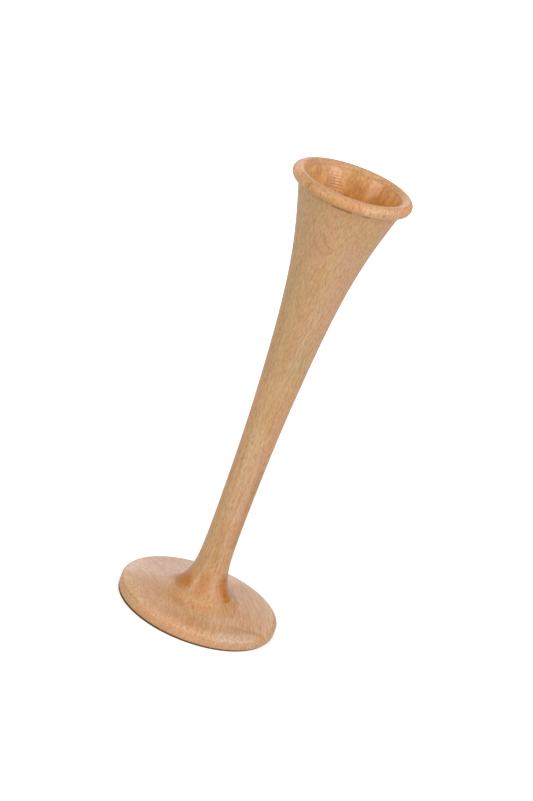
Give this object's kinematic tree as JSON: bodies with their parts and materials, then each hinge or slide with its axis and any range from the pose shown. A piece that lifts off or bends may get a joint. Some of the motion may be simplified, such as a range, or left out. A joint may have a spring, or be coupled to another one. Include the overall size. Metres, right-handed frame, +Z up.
{
  "type": "monaural stethoscope",
  "caption": "Turned wooden listening horn: flared bell with a rolled rim on a slender bored stem, its foot glued into a round ear plate it stands on.",
  "frame": {"origin": "centre of the ear face, the flat underside of the ear plate that the horn stands on", "axes": "+Z up the horn's axis, from the ear plate to the bell's mouth; X and Y are free, the plate's grain runs along Y"},
  "size_m": [0.06, 0.06, 0.1735],
  "materials": {
    "horn_beech": "clear satin lacquer over turned beech, grain along the axis",
    "plate_beech": "clear satin lacquer over turned beech, grain across the plate"
  },
  "bodies": {
    "root": {"horn": "horn_beech", "ear_plate": "plate_beech"}
  },
  "joints": []
}
